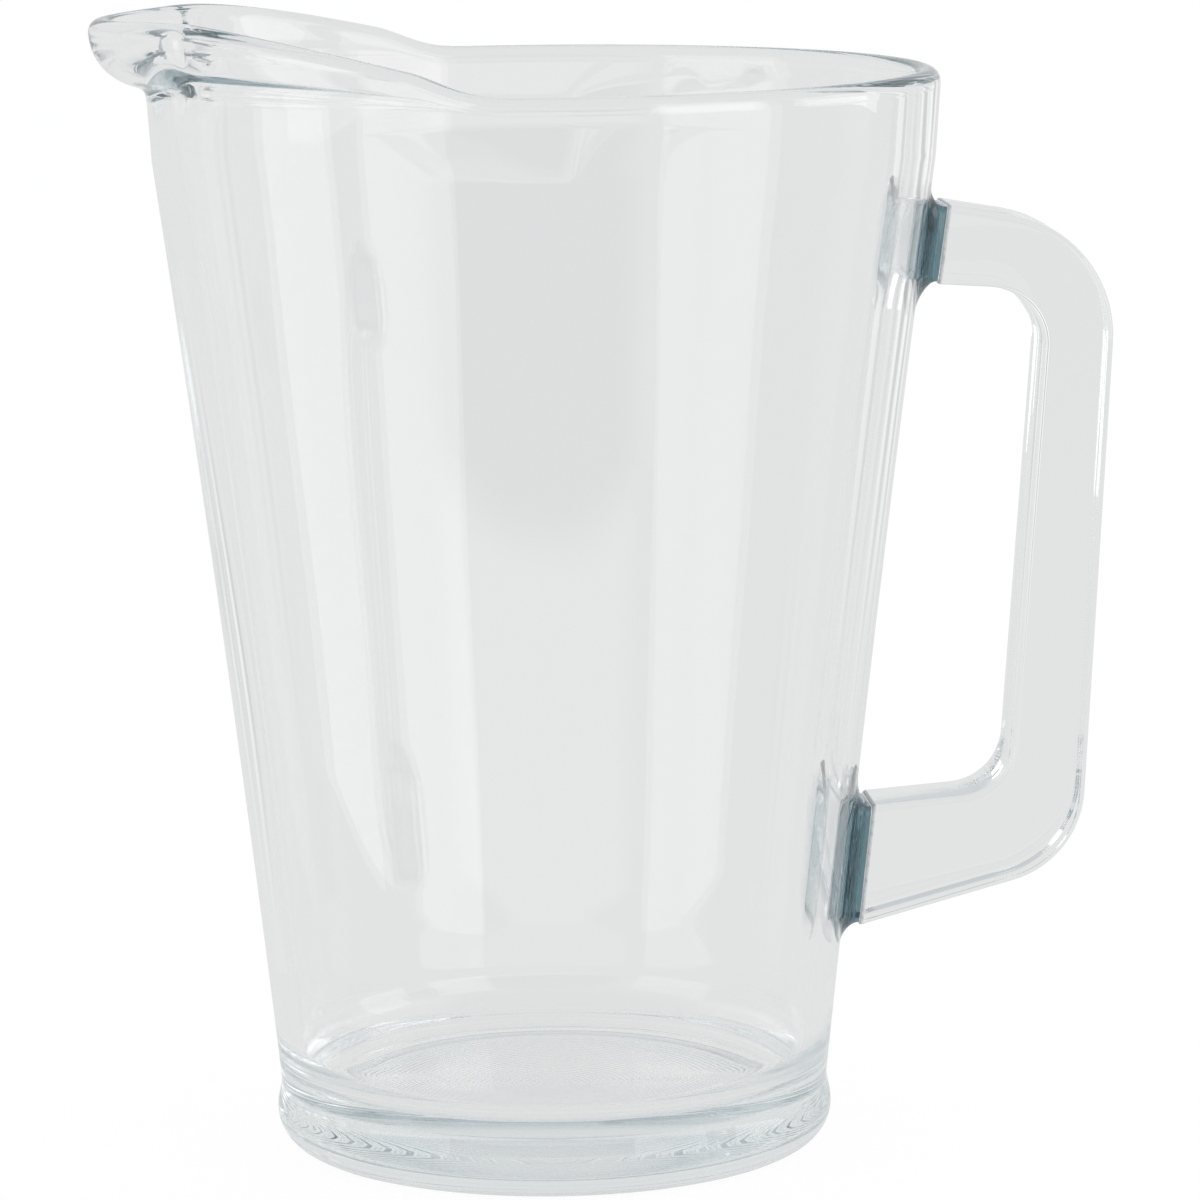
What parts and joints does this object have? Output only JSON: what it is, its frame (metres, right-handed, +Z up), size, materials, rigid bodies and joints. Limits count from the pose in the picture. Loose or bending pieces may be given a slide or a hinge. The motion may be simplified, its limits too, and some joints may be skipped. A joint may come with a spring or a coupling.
{
  "type": "beer pitcher",
  "caption": "Clear pressed-glass beer pitcher: tapered round bowl on a thick rounded foot, pinched beaked spout standing above the rim, and a fused D handle, for serving drinks.",
  "frame": {"origin": "on the bowl's axis, in the plane of the foot's bearing ring that stands on the table", "axes": "+Z up along the bowl's axis, +X towards the handle, spout towards -X, +Y square to the plane of spout and handle"},
  "size_m": [0.1882, 0.146, 0.2121],
  "materials": {
    "glass": "clear fire-polished pressed glass with a faint blue-green tint"
  },
  "bodies": {
    "root": {"body": "glass", "handle": "glass", "upper_handle_pad": "glass", "lower_handle_pad": "glass"}
  },
  "joints": []
}
